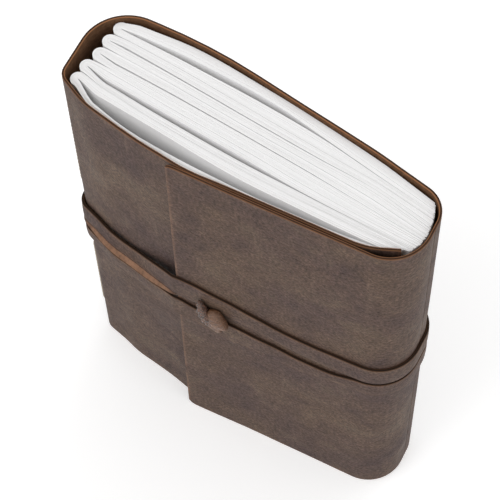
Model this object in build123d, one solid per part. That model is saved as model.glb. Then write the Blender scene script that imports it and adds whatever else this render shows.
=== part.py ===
from build123d import *
import math
import os

# A leather journal that stands on its bottom edge, in millimetres.
# X runs from the spine (-X) to the fore-edge (+X), the flap faces -Y, and +Z is up.
# The origin is the middle of the base, under the centre of the whole object.

# Leather sheet
COVER_HEIGHT = 182.0
LEATHER = 1.2
FLAP_AIR = 0.25
SPINE_X = -64.85
FORE_EDGE_X = 64.85
FLAP_Y = -21.0
FLAP_EDGE_X = -19.3
COVER_Y = FLAP_Y + LEATHER + FLAP_AIR
BACK_Y = 24.5

# Paper
PAGE_HEIGHT = 178.0
PAGE_LIFT = 2.0
SHEETS = 8
SHEETS_PER_NODE = 2
SHEET_FILL = 0.86
COVER_AIR = 0.6
BLOCK_DRAWN_IN = 0.9
FORE_EDGE_PAGE_X = 62.5
FORE_EDGE_MIDDLE_Y = -4.0
SIGNATURE_AIR = 0.35
FOLD_TIPS = [(-61.4, -4.2), (-61.0, 1.2), (-59.6, 7.0), (-59.2, 12.7), (-58.2, 18.2)]
FOLD_RADIUS = 2.5
FOLD_CORE = 0.5
OPENING_WIDTHS = [5.2, 1.7, 0.6, 0.8, 1.7]
STATIONS = [-45.0, -34.0, -23.0, -11.0, 1.0, 13.0, 25.0, 36.0, 44.0, 50.0, 54.0]

# Sewing thread, with each stitch outside the spine as (low, high)
THREAD_RADIUS = 0.4
THREAD_HOLE_WIDTH = 1.1
THREAD_AIR = 0.25
STITCHES = [(20.0, 66.0), (112.0, 162.0)]

# Thong, with the edges of its two turns as corners (x, z, radius) seen from the front.
# Behind the book each edge runs straight between the same two ends.
THONG = 1.2
THONG_AIR = 0.05
LANDING_X = -38.0
SPINE_END_AIR = 0.2
UPPER_TOP = [(-70, 96.3, 0), (-42, 98, 40), (-16, 106.5, 30), (26, 101.4, 80), (70, 102.7, 0)]
UPPER_BOTTOM = [(-70, 83.5, 0), (-42, 85, 30), (-20, 94.5, 15), (26, 92, 80), (70, 93.2, 0)]
LOWER_TOP = [(-70, 82.6, 0), (-42, 82.6, 30), (-16, 89, 25), (28, 86.2, 60), (56, 90.8, 30), (70, 91, 0)]
LOWER_BOTTOM = [(-70, 75.5, 0), (-42, 75.5, 30), (-16, 79.5, 30), (22, 76.8, 60), (54, 82.8, 30), (70, 83, 0)]

# Knot, whose stem passes a slot in the flap between the two turns
KNOT_DEPTH = 3.4
KNOT_ROUNDING = 1.4
KNOT_WRAP = (-8.3, 87.6, 5.4, 17.0)
KNOT_LOOP = (-3.2, 88.4, 4.6, 16.0)
STEM = (-8.0, 91.4, 4.0, 2.6)
SLOT_AIR = 0.3
TAIL = (-7.0, 76.9, 4.4, 3.6)

# The outer face of the leather, as corners (x, y, radius) from the front cover's free edge,
# round the spine, the back and the fore-edge, to the flap's free edge.
FREE_EDGE = (58.0, -15.4, 0.0)
FRONT_BEND = (48.0, COVER_Y, 25.0)
FRONT_SLOPE = (-12.0, COVER_Y, 60.0)
FRONT_SHOULDER = (-48.0, -13.3, 40.0)
SPINE_FRONT = (SPINE_X, -6.6, 5.0)
SPINE_BACK = (SPINE_X, BACK_Y, 16.0)
BACK_SHOULDER = (-27.0, BACK_Y, 200.0)
BACK_SLOPE = (38.0, 12.6, 150.0)
BACK_FOLD = (FORE_EDGE_X, 6.2, 10.0)
FRONT_FOLD = (FORE_EDGE_X, FLAP_Y, 14.0)
FLAP_EDGE = (FLAP_EDGE_X, FLAP_Y, 0.0)


def flat(corner):
    """A corner's place in the plan, as a vector."""
    return Vector(corner[0], corner[1])


def between(a, b, share):
    """A plain end point part of the way from one corner to another."""
    place = flat(a) + (flat(b) - flat(a)) * share
    return (place.X, place.Y, 0.0)


def outward(a, b):
    """The unit normal on the left of the way from a to b, which is the outer side."""
    along = (flat(b) - flat(a)).normalized()
    return Vector(-along.Y, along.X)


def offset_path(path, distance):
    """The same path moved outward by a distance, with each round corner kept concentric."""
    moved = []
    for n, corner in enumerate(path):
        before = outward(path[n - 1], corner) if n > 0 else None
        after = outward(corner, path[n + 1]) if n < len(path) - 1 else None
        first = before or after
        last = after or before
        place = flat(corner) + (first + last) * (distance / (1 + first.dot(last)))
        bulges = first.cross(last).Z < 0
        moved.append((place.X, place.Y, corner[2] + (distance if bulges else -distance)))
    return moved


def rounded(path):
    """The path as runs joined by tangent arcs."""
    points = [(x, y) for x, y, _ in path]
    if len(path) == 2:
        return Line(*points)
    return FilletPolyline(*points, radius=[radius for _, _, radius in path[1:-1]])


def area_between(first, second):
    """The flat area between two lines that run side by side."""
    ends = [Line(first @ 0, second @ 0), Line(first @ 1, second @ 1)]
    return make_face([*first.edges(), *second.edges(), *ends])


def ribbon(path, inner, outer):
    """The flat area between two offsets of a path."""
    return area_between(rounded(offset_path(path, inner)), rounded(offset_path(path, outer)))


def fold_plane(before, corner, after):
    """The upright plane that halves a corner, with its normal pointing on along the path."""
    arriving = (flat(corner) - flat(before)).normalized()
    leaving = (flat(after) - flat(corner)).normalized()
    return Plane(origin=flat(corner), z_dir=arriving + leaving)


def fold_axis(before, corner, after):
    """The point in the plan that a fold turns about: the outer face of the thong at mid-arc."""
    first = outward(before, corner)
    last = outward(corner, after)
    half_turn = math.acos(first.dot(last)) / 2
    inset = corner[2] * (1 / math.cos(half_turn) - 1)
    return flat(corner) - (first + last).normalized() * (inset - THONG - 2 * THONG_AIR)


def past(solid, plane, air=0.0):
    """The piece of a solid that lies past a plane."""
    return split(solid, bisect_by=plane.offset(air), keep=Keep.TOP)


def short_of(solid, plane, air=0.0):
    """The piece of a solid that lies short of a plane."""
    return split(solid, bisect_by=plane.offset(-air), keep=Keep.BOTTOM)


SPINE_SEAM = between(FRONT_SHOULDER, SPINE_FRONT, 0.65)
SHOULDER_SEAM = between(SPINE_BACK, BACK_SHOULDER, 0.5)
SPINE_FRONT_PLANE = fold_plane(FRONT_SHOULDER, SPINE_FRONT, SPINE_BACK)
BACK_FOLD_PLANE = fold_plane(BACK_SLOPE, BACK_FOLD, FRONT_FOLD)
FRONT_FOLD_PLANE = fold_plane(BACK_FOLD, FRONT_FOLD, FLAP_EDGE)


def block_between(place, depth_from, depth_to):
    """A square-cornered block: place is (x, z, width, height), and the depths are along Y."""
    x, z, width, height = place
    depth = depth_to - depth_from
    return Pos(x, depth_from + depth / 2, z) * Box(width, depth, height)


def panel(path):
    """A stretch of the leather sheet at its full height."""
    return extrude(ribbon(path, -LEATHER, 0.0), COVER_HEIGHT)


def leather_panels():
    """The five panels of the cover, split at the folds that turn."""
    front = panel([FREE_EDGE, FRONT_BEND, FRONT_SLOPE, FRONT_SHOULDER, SPINE_SEAM])
    spine = panel([SPINE_SEAM, SPINE_FRONT, SPINE_BACK, SHOULDER_SEAM])
    back = panel([SHOULDER_SEAM, BACK_SHOULDER, BACK_SLOPE, BACK_FOLD, FRONT_FOLD])
    wrap = panel([BACK_SLOPE, BACK_FOLD, FRONT_FOLD, FLAP_EDGE])
    flap = panel([BACK_FOLD, FRONT_FOLD, FLAP_EDGE])
    x, z, width, height = STEM
    slot = (x, z, width + SLOT_AIR, height + SLOT_AIR)
    return {
        "front_cover": front,
        "spine_panel": spine - [hole for tip in FOLD_TIPS for hole in sewing_holes(tip)],
        "back_cover": short_of(back, BACK_FOLD_PLANE),
        "fore_edge_wrap": short_of(past(wrap, BACK_FOLD_PLANE), FRONT_FOLD_PLANE),
        "flap": past(flap, FRONT_FOLD_PLANE) - block_between(slot, FLAP_Y - 1, FLAP_Y + LEATHER + 1),
    }


def spine_face_x(y):
    """Where the spine's outer face lies at a depth y."""
    radius = SPINE_BACK[2]
    past_flat = max(0.0, y - BACK_Y + radius)
    return SPINE_X + radius - math.sqrt(radius**2 - past_flat**2)


def rod(start, end, radius):
    """A round rod between two points."""
    axis = Vector(*end) - Vector(*start)
    return Solid.make_cylinder(radius, axis.length, Plane(origin=start, z_dir=axis))


def sewing_holes(tip):
    """The punched holes through the spine and one signature's fold that its thread passes."""
    x, y = tip
    start = SPINE_X - THREAD_HOLE_WIDTH
    length = x + FOLD_RADIUS - start
    hole = Box(length, THREAD_HOLE_WIDTH, THREAD_HOLE_WIDTH)
    heights = [height for stitch in STITCHES for height in stitch]
    return [Pos(start + length / 2, y, height) * hole for height in heights]


def sewing_thread(tip):
    """One thread: two stitches outside the spine, joined by a run inside the fold."""
    x, y = tip
    outside = spine_face_x(y) - THREAD_RADIUS - THREAD_AIR
    inside = x + FOLD_RADIUS
    heights = [height for stitch in STITCHES for height in stitch]
    lengths = [rod((inside, y, heights[0]), (inside, y, heights[-1]), THREAD_RADIUS)]
    for low, high in STITCHES:
        lengths.append(rod((outside, y, low), (outside, y, high), THREAD_RADIUS))
    for height in heights:
        lengths.append(rod((outside, y, height), (inside, y, height), THREAD_RADIUS))
        lengths.append(Pos(outside, y, height) * Sphere(THREAD_RADIUS))
        lengths.append(Pos(inside, y, height) * Sphere(THREAD_RADIUS))
    return lengths[0].fuse(*lengths[1:])


def depth_on(line, x):
    """The depth at which a line that runs across the book passes a given x."""
    low, high = 0.0, 1.0
    rises = (line @ 1).X > (line @ 0).X
    for _ in range(30):
        middle = (low + high) / 2
        if ((line @ middle).X < x) == rises:
            low = middle
        else:
            high = middle
    return (line @ low).Y


def fore_edge_x(y):
    """Where the block's rounded fore-edge lies at a depth y."""
    lean = (y - FORE_EDGE_MIDDLE_Y) / 12.5
    return FORE_EDGE_PAGE_X - (4.6 if lean < 0 else 2.6) * lean**2


def block_faces():
    """The page block's front and back faces at every station, just clear of the covers."""
    clearance = -LEATHER - COVER_AIR
    front_path = [FREE_EDGE, FRONT_BEND, FRONT_SLOPE, FRONT_SHOULDER, SPINE_FRONT]
    back_path = [SPINE_BACK, BACK_SHOULDER, BACK_SLOPE, BACK_FOLD]
    front_line = rounded(offset_path(front_path, clearance))
    back_line = rounded(offset_path(back_path, clearance))
    front = [depth_on(front_line, x) for x in STATIONS]
    drawn_in = [BLOCK_DRAWN_IN * max(0.0, x / STATIONS[-1]) ** 2 for x in STATIONS]
    back = [depth_on(back_line, x) - gap for x, gap in zip(STATIONS, drawn_in)]
    return front, back


def opening_width(signature, x):
    """The width at x of the gap in the middle of a signature."""
    reach = (x - STATIONS[0]) / (STATIONS[-1] - STATIONS[0])
    swell = 1 + 0.5 * math.sin(math.pi * min(1.0, 1.6 * reach))
    return OPENING_WIDTHS[signature] * swell * (1.04 - reach)


def signature_faces(signature):
    """The depths of a signature's front face, the faces of its opening and its back face,
    as four lists with one depth for every station."""
    faces = [[], [], [], []]
    for x, block_front, block_back in zip(STATIONS, *BLOCK_FACES):
        gaps = [opening_width(n, x) for n in range(len(FOLD_TIPS))]
        spare = sum(gaps) + SIGNATURE_AIR * (len(gaps) - 1)
        half = (block_back - block_front - spare) / (2 * len(gaps))
        front = block_front + (2 * half + SIGNATURE_AIR) * signature + sum(gaps[:signature])
        depths = [front, front + half, front + half + gaps[signature], front + 2 * half + gaps[signature]]
        for face, depth in zip(faces, depths):
            face.append(depth)
    return faces


def fore_edge_end(depth):
    """Where a leaf that is at a depth at the last station meets the fore-edge."""
    front, back = BLOCK_FACES
    last_step = STATIONS[-1] - STATIONS[-2]
    front_slope = (front[-1] - front[-2]) / last_step
    back_slope = (back[-1] - back[-2]) / last_step
    level = (depth - front[-1]) / (back[-1] - front[-1])
    slope = front_slope + (back_slope - front_slope) * level
    x = fore_edge_x(depth)
    return x, depth + slope * (x - STATIONS[-1])


def leaf_points(fold_end, outer, inner, nesting):
    """Points along one leaf, from just past its fold to the fore-edge."""
    depths = [a + (b - a) * nesting for a, b in zip(outer, inner)]
    stations = list(zip(STATIONS, depths))
    straight = []
    for share in (0.3, 0.65):
        straight.append(tuple(a + (b - a) * share for a, b in zip(fold_end, stations[0])))
    return straight + stations + [fore_edge_end(depths[-1])]


def sheet_line(signature, nesting):
    """A folded sheet's line, from its back fore-edge round the fold to its front one.
    Nesting is 0 at the signature's outer face and 1 at its innermost face."""
    tip_x, tip_y = FOLD_TIPS[signature]
    radius = FOLD_RADIUS + (FOLD_CORE - FOLD_RADIUS) * nesting
    turns = [math.pi * (0.5 + step / 4) for step in range(5)]
    fold = [(tip_x + FOLD_RADIUS + radius * math.cos(a), tip_y + radius * math.sin(a)) for a in turns]
    front, front_inner, back_inner, back = signature_faces(signature)
    front_leaf = leaf_points(fold[-1], front, front_inner, nesting)
    back_leaf = leaf_points(fold[0], back, back_inner, nesting)
    return Spline(*back_leaf[::-1], *fold, *front_leaf)


def folded_sheet(signature, sheet):
    """One folded sheet of paper, standing on its lower edge."""
    outer = sheet_line(signature, sheet / SHEETS)
    inner = sheet_line(signature, (sheet + SHEET_FILL) / SHEETS)
    return Pos(0, 0, PAGE_LIFT) * extrude(area_between(outer, inner), PAGE_HEIGHT)


def paper_nodes():
    """The sheets of every signature, in small nested groups."""
    nodes = {}
    for signature, tip in enumerate(FOLD_TIPS):
        holes = sewing_holes(tip)
        for group in range(SHEETS // SHEETS_PER_NODE):
            members = range(group * SHEETS_PER_NODE, (group + 1) * SHEETS_PER_NODE)
            sheets = [folded_sheet(signature, member) - holes for member in members]
            nodes[f"signature_{signature + 1}_sheets_{group + 1}"] = Compound(children=sheets)
    return nodes


def height_band(top, bottom):
    """A slab through the whole book between two edges seen from the front."""
    reach = 100.0
    outline = area_between(rounded(top), rounded(bottom))
    return extrude(Plane.XZ.offset(-reach) * outline, 2 * reach)


def thong_turn(name, top, bottom):
    """One turn of the thong round the closed book, as a solid for each stretch."""
    front_band = height_band(top, bottom)
    rear_band = height_band([top[0], top[-1]], [bottom[0], bottom[-1]])
    landing_share = (FRONT_SLOPE[0] - LANDING_X) / (FRONT_SLOPE[0] - FRONT_SHOULDER[0])
    landing = between(FRONT_SLOPE, FRONT_SHOULDER, landing_share)[:2] + (30.0,)
    step_off = (FLAP_EDGE_X - THONG, FLAP_Y, 4.0)

    def loop(path):
        return extrude(ribbon(path, THONG_AIR, THONG_AIR + THONG), COVER_HEIGHT)

    front = loop([BACK_FOLD, FRONT_FOLD, step_off, landing, FRONT_SHOULDER, SPINE_FRONT, SPINE_BACK])
    fore_edge = loop([BACK_SLOPE, BACK_FOLD, FRONT_FOLD, FLAP_EDGE])
    back = loop([SHOULDER_SEAM, BACK_SHOULDER, BACK_SLOPE, BACK_FOLD, FRONT_FOLD])
    spine = loop([FRONT_SHOULDER, SPINE_FRONT, SPINE_BACK, SHOULDER_SEAM])
    front = short_of(past(front, FRONT_FOLD_PLANE), SPINE_FRONT_PLANE, SPINE_END_AIR)
    fore_edge = short_of(past(fore_edge, BACK_FOLD_PLANE), FRONT_FOLD_PLANE)
    return {
        f"{name}_front": front & front_band,
        f"{name}_fore_edge": fore_edge & rear_band,
        f"{name}_back": short_of(back, BACK_FOLD_PLANE) & rear_band,
        f"{name}_spine": past(spine, SPINE_FRONT_PLANE) & rear_band,
    }


def knot_lobe(place):
    """One rounded lobe of the knot, lying on the outer face of the thong."""
    x, z, width, height = place
    face_y = FLAP_Y - THONG - 3 * THONG_AIR
    lobe = extrude(Plane.XZ.offset(-face_y) * Pos(x, z) * SlotOverall(height, width, rotation=90), KNOT_DEPTH)
    outer_edges = lobe.edges().group_by(Axis.Y)[0]
    return fillet(outer_edges, KNOT_ROUNDING), face_y


def knot_nodes():
    """The knot that holds the thong to the flap, and the thong's tucked end."""
    wrap, face_y = knot_lobe(KNOT_WRAP)
    loop, _ = knot_lobe(KNOT_LOOP)
    stem = block_between(STEM, face_y - 0.5, FLAP_Y + LEATHER - THONG_AIR)
    return {
        "thong_knot_wrap": wrap + stem,
        "thong_knot_loop": loop - wrap,
        "thong_end": block_between(TAIL, FLAP_Y - THONG_AIR - THONG, FLAP_Y - THONG_AIR),
    }


BLOCK_FACES = block_faces()


def all_nodes():
    """Every named piece of the journal."""
    nodes = leather_panels() | paper_nodes()
    for number, tip in enumerate(FOLD_TIPS):
        nodes[f"sewing_thread_{number + 1}"] = sewing_thread(tip)
    nodes |= thong_turn("thong_upper", UPPER_TOP, UPPER_BOTTOM)
    nodes |= thong_turn("thong_lower", LOWER_TOP, LOWER_BOTTOM)
    return nodes | knot_nodes()


os.makedirs("parts", exist_ok=True)
for node_name, shape in all_nodes().items():
    export_step(shape, f"parts/{node_name}.step")
print("back fold axis", fold_axis(BACK_SLOPE, BACK_FOLD, FRONT_FOLD))
print("front fold axis", fold_axis(BACK_FOLD, FRONT_FOLD, FLAP_EDGE))
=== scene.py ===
import math
import random

import bmesh
import bpy
from mathutils import Matrix, Vector, noise

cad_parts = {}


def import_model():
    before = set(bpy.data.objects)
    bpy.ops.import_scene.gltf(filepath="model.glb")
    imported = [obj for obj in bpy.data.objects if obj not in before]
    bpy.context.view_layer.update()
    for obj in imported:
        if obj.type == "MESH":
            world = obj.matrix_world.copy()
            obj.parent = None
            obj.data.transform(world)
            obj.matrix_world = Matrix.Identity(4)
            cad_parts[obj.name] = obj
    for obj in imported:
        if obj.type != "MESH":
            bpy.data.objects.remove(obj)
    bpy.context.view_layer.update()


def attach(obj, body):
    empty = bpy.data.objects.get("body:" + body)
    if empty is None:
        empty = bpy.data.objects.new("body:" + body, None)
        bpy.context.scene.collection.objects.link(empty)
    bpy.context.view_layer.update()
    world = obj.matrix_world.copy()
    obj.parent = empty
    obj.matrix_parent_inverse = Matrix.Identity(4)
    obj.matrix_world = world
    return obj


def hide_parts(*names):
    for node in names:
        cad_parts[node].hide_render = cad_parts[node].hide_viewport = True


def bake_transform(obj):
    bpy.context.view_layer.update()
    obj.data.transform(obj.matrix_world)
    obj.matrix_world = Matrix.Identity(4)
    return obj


# The looks of a leather journal, built over its imported CAD model.
# Lengths are in millimetres, and MM turns them into metres when a mesh is made.
# The lights' places are in metres.

MM = 0.001
SEED = 7

# Camera: its place, and the directions of its right, its up and its back
CAMERA_PLACE = (149.55, -276.27, 710.15)
CAMERA_RIGHT = (0.89158, 0.45257, -0.01643)
CAMERA_UP = (-0.39478, 0.79448, 0.46146)
CAMERA_BACK = (0.22190, -0.40494, 0.88701)
CAMERA_LENS = 143.8
SENSOR = 36.0

# Leather sheet: its size, the places of its folds and its free edge, how uneven it is, and the
# spacing of its mesh. The front cover's offsets fade out between the two SPINE_FADE depths.
COVER_HEIGHT = 182.0
LEATHER = 0.95
FLAP_Y = -21.0
FLAP_EDGE_X = -19.3
FLAP_CORNER = 3.5
SPINE_X = -64.4
FORE_EDGE_X = 64.1
SPINE_FADE = (-8.0, -2.0)
RIPPLE = 0.1
EDGE_WAVE = 0.14
TAIL_MARGIN = 0.45
HEAD_MARGIN = 0.35
SHEET_SPACING = 1.2
SHEET_ROWS = 28

# Material numbers of a leather piece
GRAIN, FLESH, CUT = 0, 1, 2

# A rounded cut edge: its radius as a share of the thickness, the stations close to a free end as
# shares of that radius, and its section as (share of the thickness, share of the radius)
EDGE_ROUNDING = 0.32
END_STATIONS = (0.0, 0.12, 0.4, 0.75)
EDGE_SECTION = ((0.04, 0.55), (0.22, 0.95), (0.5, 1.0), (0.78, 0.95), (0.96, 0.55))

# The sheet's outer face as corners (x, y, radius), from the front cover's free edge round the
# spine, the back and the fore-edge, to the flap's free edge
SHEET_PATH = [
    (58.0, -15.4, 0.0),
    (48.0, -19.55, 25.0),
    (-12.0, -19.55, 60.0),
    (-48.0, -13.3, 40.0),
    (SPINE_X, -6.6, 5.0),
    (SPINE_X, 24.5, 16.0),
    (-27.0, 24.5, 200.0),
    (38.0, 12.6, 150.0),
    (FORE_EDGE_X, 6.2, 10.0),
    (FORE_EDGE_X, FLAP_Y, 14.0),
    (FLAP_EDGE_X, FLAP_Y, 0.0),
]

# Where the leather changes from one piece to the next
BACK_SEAM_X = 46.0
WRAP_SEAM_Y = -4.3

# How far the front cover's outer face stands off its plan path, by x, at its tail and its head
TAIL_OFFSETS = [
    (-70, -0.6), (-62, -1.1), (-54, -2.0), (-46, -2.1), (-38, -2.1), (-30, -1.9), (-20, -1.1),
    (0, 0), (60, 0),
]
HEAD_OFFSETS = [
    (-70, 0.0), (-62, 0.1), (-54, 0.8), (-46, 0.4), (-38, 0.8), (-30, 1.0), (-20, 0.7),
    (0, 0.1), (60, 0),
]

# Page block: folded sheets in five signatures, with the outermost point (x, y) of each fold.
# The gaps are left to the front cover and between signatures, and LEAF_PINCH is the least step
# between layers where the cover's free end presses on them.
PAGE_HEAD = 180.0
PAGE_TAIL = 2.0
PAGE_LEVELS = (62.0, 122.0)
BLOCK_DEPTH = 24.0
SHEETS = 10
LEAF_START_X, LEAF_END_X, LEAF_STEPS = -50.0, 50.0, 22
FORE_EDGE_PAGE_X = 62.4
FORE_EDGE_MIDDLE_Y = -4.0
FORE_EDGE_HALF_DEPTH = 12.5
FORE_EDGE_BOWS = (4.4, 2.6)
FOLD_TIPS = [(-61.4, -4.2), (-61.0, 1.2), (-59.6, 7.0), (-59.2, 12.7), (-58.2, 18.2)]
FOLD_RADIUS = 2.55
FOLD_STEPS = 12
COVER_GAP = 0.35
SIGNATURE_GAP = 0.12
LEAF_PINCH = 0.06

# Depths at these stations, at the head: each signature's back face, and the front and back of its
# opening
STATIONS = [-49.5, -29.5, 0.5, 20.5, 40.5, 50.5]
BOUNDARIES = [
    [-3.8, -7.1, -10.6, -12.1, -13.1, -13.5],
    [3.2, 0.4, -3.2, -6.0, -8.4, -9.3],
    [9.1, 6.8, 3.0, 0.6, -2.0, -3.9],
    [15.1, 12.9, 8.9, 6.2, 3.7, 1.8],
    [22.0, 22.2, 18.1, 14.5, 10.4, 7.7],
]
OPENINGS = [
    ([-10.9, -14.7, -17.1, -17.6, -17.2, -16.4], [-7.0, -9.7, -13.8, -15.0, -15.9, -16.1]),
    ([-1.9, -4.8, -8.3, -9.8, -11.2, -11.8], [-0.7, -3.1, -6.7, -9.3, -11.0, -11.7]),
    ([5.4, 3.5, 0.0, -2.5, -5.3, -6.7], [6.0, 4.0, 0.4, -2.2, -5.2, -6.6]),
    ([11.9, 9.6, 5.7, 3.3, 1.3, -0.9], [12.6, 10.1, 6.1, 3.6, 1.4, -0.8]),
    ([17.6, 16.0, 12.9, 10.0, 5.7, 3.7], [18.6, 18.0, 14.8, 10.5, 5.9, 3.8]),
]

# Sewing: two-ply thread, and the heights that its stitches run between
THREAD = 0.9
THREAD_TWIST = 2.4
THREAD_SPACING = 0.7
THREAD_SIDES = 12
STITCHES = [(20.0, 66.0), (112.0, 162.0)]
STITCH_CORNER = 0.7
STITCH_OUTSIDE = 0.15
STITCH_INSIDE = 0.2

# Thong: its thickness, and its closed path on the book as corners (x, y, radius)
THONG = 1.0
THONG_AIR = 0.1
THONG_SPACING = 0.8
LIP_ROWS = (0.0, 0.3, 0.6, 0.88)
STRAP_ROWS = (0.07, 0.2, 0.4, 0.6, 0.8, 0.94, 1.0)
KNOT_FACE_Y = FLAP_Y - THONG - 0.2
THONG_SEAM_Y = -2.0
THONG_PATH = [
    (SPINE_X, THONG_SEAM_Y, 0.0),
    (SPINE_X, 24.5, 16.0),
    (-27.0, 24.5, 200.0),
    (38.0, 12.6, 150.0),
    (FORE_EDGE_X, 6.2, 10.0),
    (FORE_EDGE_X, FLAP_Y, 14.0),
    (FLAP_EDGE_X - 1.2, FLAP_Y, 4.0),
    (-38.0, -15.04, 30.0),
    (-48.0, -13.3, 40.0),
    (SPINE_X, -6.6, 5.0),
    (SPINE_X, THONG_SEAM_Y, 0.0),
]

# Heights of both turns of the thong by x, seen from the front. An upper turn's lower edge is the
# crease that its lip starts from.
UPPER_TOP = [
    (-66, 100.5), (-58, 101.6), (-50, 101.6), (-40, 101.0), (-36, 101.8), (-30, 104.0), (-24, 106.2),
    (-19, 107.2), (-13, 107.4), (-8, 106.6), (2, 105.2), (12, 103.4), (22, 101.6), (30, 101.2),
    (40, 101.7), (52, 102.6), (66, 102.6),
]
UPPER_LOW = [
    (-66, 90.0), (-60, 92.4), (-55, 94.0), (-50, 94.4), (-44, 94.2), (-38, 94.0), (-34, 94.4),
    (-28, 95.2), (-18, 95.6), (0, 95.4), (12, 94.6), (26, 92.0), (40, 92.2), (52, 93.0), (66, 93.2),
]
LOWER_TOP = [
    (-66, 84.5), (-58, 84.5), (-50, 84.5), (-44, 85.0), (-38, 85.0), (-32, 86.5), (-26, 89.3),
    (-20, 91.4), (-13, 89.9), (0, 88.9), (12, 87.6), (20, 87.0), (29, 86.1), (40, 86.7), (50, 90.4),
    (66, 91.0),
]
LOWER_LOW = [
    (-66, 80.0), (-58, 79.2), (-46, 78.6), (-36, 78.5), (-28, 79.5), (-17, 80.6), (-8, 78.2),
    (1, 77.4), (8, 77.8), (18, 77.2), (28, 78.0), (40, 81.6), (50, 83.2), (66, 83.0),
]

# How far the upper turn's lower edge is rolled out, and how far the turn leans, by x
UPPER_LIP = [
    (-65, 0.0), (-61, 0.5), (-58, 0.8), (-54, 1.2), (-47, 1.4), (-40, 1.5), (-34, 1.5), (-28, 1.2),
    (-22, 0.6), (-18, 0.0), (60, 0.0),
]
UPPER_LEAN = [(-65, 0.0), (-58, 0.6), (-50, 0.9), (-40, 0.9), (-30, 0.6), (-20, 0.0), (60, 0.0)]

# Stage, with its lights as (name, place, size, power)
LIGHTS = [
    ("key", (-0.55, -0.75, 1.05), 0.9, 5.2),
    ("fill", (0.95, -0.55, 0.75), 1.1, 2.4),
    ("rim", (0.2, 0.8, 1.1), 1.0, 3.2),
]
SURROUND = 0.62
FLOOR_REACH = 3.0
FLOOR_GLOW = 0.28


def mixed(a, b, share):
    """The value a share of the way from a to b."""
    return a + (b - a) * share


def eased(share):
    """A share from 0 to 1 that starts and ends softly."""
    share = min(1.0, max(0.0, share))
    return share * share * (3 - 2 * share)


def on_curve(table, x):
    """A smooth curve through a table of (x, value) pairs, read at x."""
    xs = [pair[0] for pair in table]
    ys = [pair[1] for pair in table]
    if x <= xs[0]:
        return ys[0]
    if x >= xs[-1]:
        return ys[-1]
    n = next(i for i in range(1, len(xs)) if x <= xs[i])
    step = xs[n] - xs[n - 1]
    rise = (ys[n] - ys[n - 1]) / step
    before = (ys[n] - ys[n - 2]) / (xs[n] - xs[n - 2]) if n > 1 else rise
    after = (ys[n + 1] - ys[n - 1]) / (xs[n + 1] - xs[n - 1]) if n + 1 < len(xs) else rise
    t = (x - xs[n - 1]) / step
    return (
        (2 * t**3 - 3 * t**2 + 1) * ys[n - 1]
        + (t**3 - 2 * t**2 + t) * step * before
        + (3 * t**2 - 2 * t**3) * ys[n]
        + (t**3 - t**2) * step * after
    )


def wander(*place):
    """A slow random value at a place, between -1 and 1 and 0 on average."""
    return noise.noise(Vector(place))


def rounded_line(corners):
    """Points along runs joined by tangent arcs; the corners are (x, y, radius)."""
    points = [Vector(corners[0][:2])]
    for before, corner, after in zip(corners, corners[1:], corners[2:]):
        place = Vector(corner[:2])
        arriving = (place - Vector(before[:2])).normalized()
        leaving = (Vector(after[:2]) - place).normalized()
        turn = math.atan2(arriving.x * leaving.y - arriving.y * leaving.x, arriving.dot(leaving))
        start = place - arriving * corner[2] * math.tan(abs(turn) / 2)
        side = math.copysign(1.0, turn)
        centre = start + Vector((-arriving.y, arriving.x)) * corner[2] * side
        steps = max(4, int(abs(turn) * 24))
        for step in range(steps + 1):
            points.append(centre + Matrix.Rotation(turn * step / steps, 2) @ (start - centre))
    points.append(Vector(corners[-1][:2]))
    return points


def evenly(points, spacing):
    """The same line with points at an even spacing of about the one given."""
    lengths = [0.0]
    for a, b in zip(points, points[1:]):
        lengths.append(lengths[-1] + (b - a).length)
    count = max(2, round(lengths[-1] / spacing))
    made = []
    n = 1
    for step in range(count + 1):
        goal = lengths[-1] * step / count
        while n < len(points) - 1 and lengths[n] < goal:
            n += 1
        share = (goal - lengths[n - 1]) / max(1e-9, lengths[n] - lengths[n - 1])
        made.append(points[n - 1].lerp(points[n], share))
    return made


def line_normals(points):
    """The unit normal on the left of the line at each of its points."""
    normals = []
    for n in range(len(points)):
        along = points[min(n + 1, len(points) - 1)] - points[max(n - 1, 0)]
        normals.append(Vector((-along.y, along.x)).normalized())
    return normals


def tapered(points, runs_in, runs_out, radius):
    """Extra stations close to a free end, so that its edge can be rounded over."""
    made = list(points)
    if runs_in:
        along = (points[1] - points[0]).normalized()
        made = [points[0] + along * radius * share for share in END_STATIONS] + made[1:]
    if runs_out:
        along = (points[-2] - points[-1]).normalized()
        made = made[:-1] + [points[-1] + along * radius * share for share in reversed(END_STATIONS)]
    return made


def run_lengths(points, start=0.0):
    """The length along a line at each of its points."""
    lengths = [start]
    for a, b in zip(points, points[1:]):
        lengths.append(lengths[-1] + (b - a).length)
    return lengths


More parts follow.
